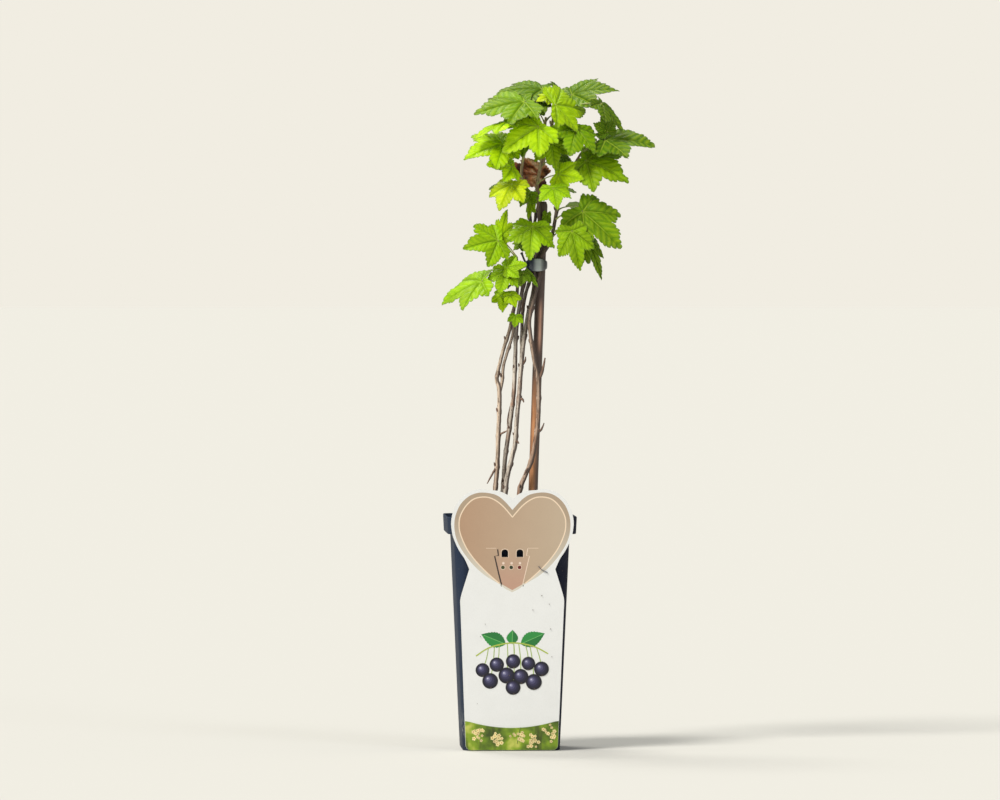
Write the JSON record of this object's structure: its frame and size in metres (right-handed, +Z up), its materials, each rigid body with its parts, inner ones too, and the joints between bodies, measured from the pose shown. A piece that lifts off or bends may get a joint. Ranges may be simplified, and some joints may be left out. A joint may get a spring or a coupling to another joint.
{
  "type": "potted blackcurrant bush",
  "caption": "Young fruit bush in a square pot of soil: slim canes tied to a stake, a crown of lobed toothed leaves, and a heart-topped card label leaning on the pot.",
  "frame": {"origin": "centre of the pot's flat underside", "axes": "+Z up along the canes, -Y towards the side the label leans on, +X to the right seen from the label's side"},
  "size_m": [0.1958, 0.124, 0.6177],
  "materials": {
    "pot": "satin blue-black moulded plastic",
    "soil": "loose dark potting soil",
    "stake": "dark reddish-brown round stick",
    "tie": "glossy dark grey band",
    "label": "printed card, white edge and brown heart",
    "cane_left": "grey-brown bark and bright green leaves",
    "cane_inner": "grey-brown bark and bright green leaves",
    "cane_centre": "grey-brown bark and bright green leaves",
    "cane_right": "grey-brown bark and darker green leaves",
    "dry_leaf": "withered reddish-brown leaf"
  },
  "bodies": {
    "root": {"pot": "pot", "soil": "soil", "stake": "stake", "tie": "tie", "label": "label", "cane_left": "cane_left", "cane_inner": "cane_inner", "cane_centre": "cane_centre", "cane_right": "cane_right", "dry_leaf": "dry_leaf"}
  },
  "joints": []
}
